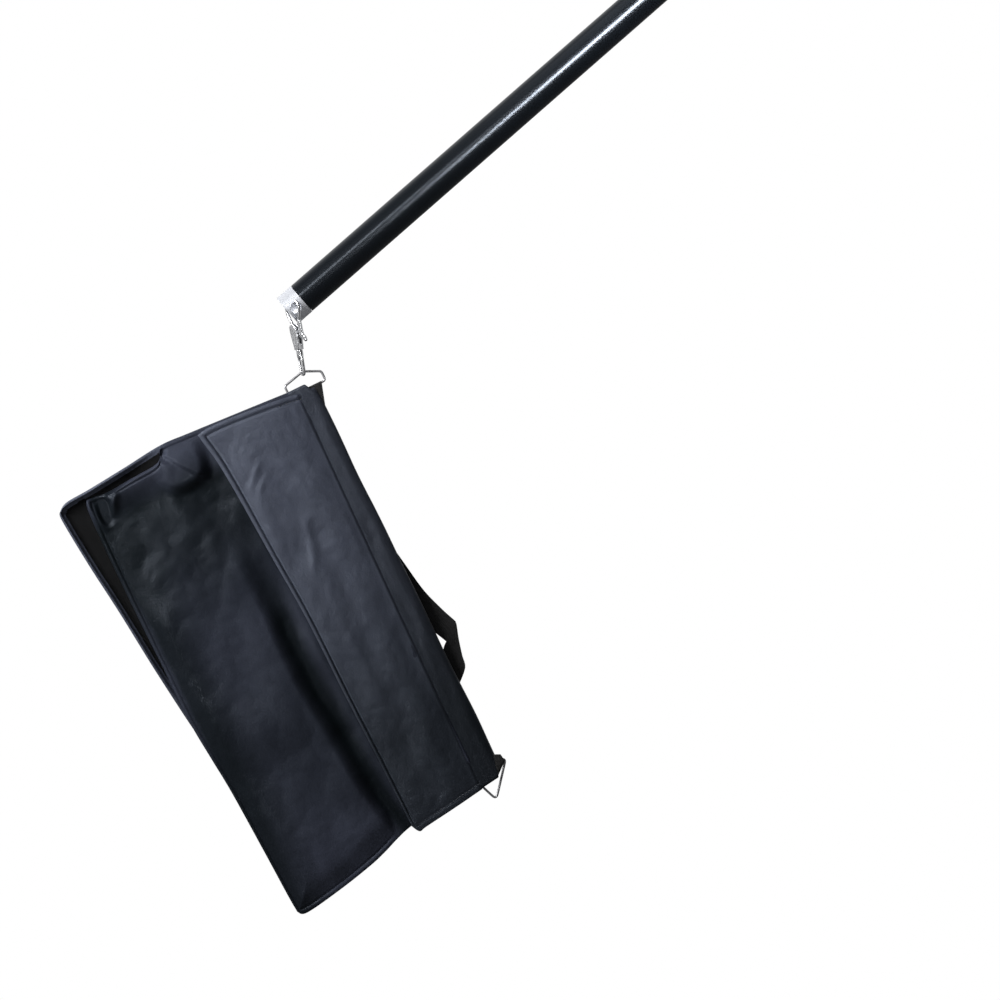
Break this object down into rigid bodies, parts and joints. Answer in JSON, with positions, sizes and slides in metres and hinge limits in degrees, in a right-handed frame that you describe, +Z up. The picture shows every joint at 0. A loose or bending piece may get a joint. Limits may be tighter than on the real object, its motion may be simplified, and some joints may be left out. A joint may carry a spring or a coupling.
{
  "type": "overhead boom arm",
  "caption": "Telescopic overhead boom arm with a tilting head for a light stand and an empty saddle counterweight bag hanging from its tail on a trigger snap.",
  "frame": {"origin": "centre of the stand socket's mouth, on the stand column's axis", "axes": "+Z up along the stand column, +X towards the light end of the boom, -Y towards the side that shows the bag's front"},
  "size_m": [1.3524, 0.1405, 1.5518],
  "materials": {
    "painted_tube": "gloss black paint on round tube",
    "painted_casting": "fine black powder coat on cast metal",
    "moulded_plastic": "black moulded nylon, lightly grained",
    "white_nylon": "plain moulded nylon",
    "gray_fibre": "pressed fibre friction disc",
    "bright_aluminium": "turned and polished",
    "bright_chrome": "polished bright plating",
    "zinc_steel": "zinc-plated steel",
    "wire_steel": "plated drawn wire",
    "coated_nylon": "dark slate coated nylon cloth with a soft sheen",
    "black_webbing": "woven black nylon webbing",
    "closure_tape": "hook-and-loop tape"
  },
  "bodies": {
    "head": {"stand_socket": "painted_casting", "tilt_friction_disc": "gray_fibre"},
    "socket_lock": {"socket_lock_screw": "zinc_steel", "socket_lock_handle": "moulded_plastic"},
    "clamp": {"tube_clamp": "painted_casting", "clamp_liner": "white_nylon", "tilt_stud": "zinc_steel", "tilt_washer": "zinc_steel"},
    "tilt_lock": {"tilt_handle": "moulded_plastic"},
    "clamp_lock": {"clamp_bolt": "zinc_steel", "clamp_handle": "moulded_plastic"},
    "boom": {"outer_tube": "painted_tube", "end_ferrule": "bright_aluminium", "telescope_collar": "moulded_plastic", "inner_guide": "white_nylon", "pressure_pad": "white_nylon"},
    "collar_lock": {"collar_screw": "zinc_steel", "collar_handle": "moulded_plastic"},
    "extension": {"inner_tube": "painted_tube", "inner_glide": "white_nylon", "end_plug": "painted_casting", "light_spigot": "bright_chrome", "spigot_pin": "zinc_steel"},
    "snap": {"snap_hook": "bright_chrome", "gate_pin": "zinc_steel", "gate_spring": "zinc_steel"},
    "gate": {"snap_gate": "bright_chrome"},
    "swivel": {"swivel_eye": "bright_chrome"},
    "ring": {"top_ring": "wire_steel"},
    "bag": {"bag_spine": "coated_nylon", "top_tab": "black_webbing", "bottom_tab": "black_webbing"},
    "front_pouch": {"front_pouch": "coated_nylon", "front_loop_tape": "closure_tape"},
    "front_flap": {"front_flap": "coated_nylon", "front_hook_tape": "closure_tape"},
    "rear_pouch": {"rear_pouch": "coated_nylon", "rear_loop_tape": "closure_tape"},
    "rear_flap": {"rear_flap": "coated_nylon", "rear_hook_tape": "closure_tape"},
    "strap": {"carry_strap": "black_webbing"},
    "lower_ring": {"bottom_ring": "wire_steel"}
  },
  "joints": [
    {"name": "socket_lock_turn", "type": "hinge", "parent": "head", "child": "socket_lock", "pos_m": [0.03, 0, 0.027], "axis": [1, 0, 0], "range_deg": [0, 720]},
    {"name": "boom_tilt", "type": "hinge", "parent": "head", "child": "clamp", "pos_m": [0, -0.052, 0.086], "axis": [0, -1, 0], "range_deg": [-55, 45]},
    {"name": "tilt_lock_turn", "type": "hinge", "parent": "clamp", "child": "tilt_lock", "pos_m": [0, 0.02, 0.086], "axis": [0, 1, 0], "range_deg": [0, 720]},
    {"name": "clamp_lock_turn", "type": "hinge", "parent": "clamp", "child": "clamp_lock", "pos_m": [-0.00856, -0.0872, 0.09578], "axis": [-0.6587, 0, 0.7524], "range_deg": [0, 720]},
    {"name": "boom_slide", "type": "slide", "parent": "clamp", "child": "boom", "axis": [0.7524, 0, 0.6587], "range_m": [-0.245, 0.6]},
    {"name": "collar_lock_turn", "type": "hinge", "parent": "boom", "child": "collar_lock", "pos_m": [0.20587, -0.052, 0.30477], "axis": [-0.6587, 0, 0.7524], "range_deg": [0, 720]},
    {"name": "extension_slide", "type": "slide", "parent": "boom", "child": "extension", "axis": [0.7524, 0, 0.6587], "range_m": [-0.245, 0.735]},
    {"name": "hook_swing", "type": "hinge", "parent": "boom", "child": "snap", "pos_m": [-0.64134, -0.06533, -0.4802], "axis": [0, 1, 0], "range_deg": [-30, 45]},
    {"name": "gate_open", "type": "hinge", "parent": "snap", "child": "gate", "pos_m": [-0.63802, -0.06476, -0.50499], "axis": [-0.5657, -0.8192, -0.0947], "range_deg": [0, 30], "stiffness_Nm_per_rad": 0.004, "springref_deg": -8.59},
    {"name": "eye_swivel", "type": "hinge", "parent": "snap", "child": "swivel", "pos_m": [-0.6383, -0.06303, -0.51822], "axis": [-0.165, 0, 0.9863], "range_deg": [-180, 180]},
    {"name": "ring_rock", "type": "hinge", "parent": "swivel", "child": "ring", "pos_m": [-0.635, -0.06303, -0.53794], "axis": [-0.8992, 0, -0.4376], "range_deg": [-35, 35]},
    {"name": "bag_swing", "type": "hinge", "parent": "ring", "child": "bag", "pos_m": [-0.62362, -0.06303, -0.55053], "axis": [-0.8992, 0, -0.4376], "range_deg": [-20, 20]},
    {"name": "front_pouch_open", "type": "hinge", "parent": "bag", "child": "front_pouch", "pos_m": [-0.56218, -0.06803, -0.73027], "axis": [-0.4376, 0, 0.8992], "range_deg": [0, 45]},
    {"name": "front_flap_lift", "type": "hinge", "parent": "front_pouch", "child": "front_flap", "pos_m": [-0.56218, -0.06814, -0.73027], "axis": [-0.4376, 0, 0.8992], "range_deg": [0, 75]},
    {"name": "rear_pouch_open", "type": "hinge", "parent": "bag", "child": "rear_pouch", "pos_m": [-0.56218, -0.05804, -0.73027], "axis": [0.4376, 0, -0.8992], "range_deg": [0, 45]},
    {"name": "rear_flap_lift", "type": "hinge", "parent": "rear_pouch", "child": "rear_flap", "pos_m": [-0.56218, -0.05794, -0.73027], "axis": [0.4376, 0, -0.8992], "range_deg": [0, 75]},
    {"name": "strap_lift", "type": "hinge", "parent": "bag", "child": "strap", "pos_m": [-0.53856, -0.05953, -0.77216], "axis": [-0.4376, 0, 0.8992], "range_deg": [0, 30]},
    {"name": "lower_ring_swing", "type": "hinge", "parent": "bag", "child": "lower_ring", "pos_m": [-0.46908, -0.06303, -0.8946], "axis": [-0.9566, 0, -0.2915], "range_deg": [-40, 40]}
  ]
}
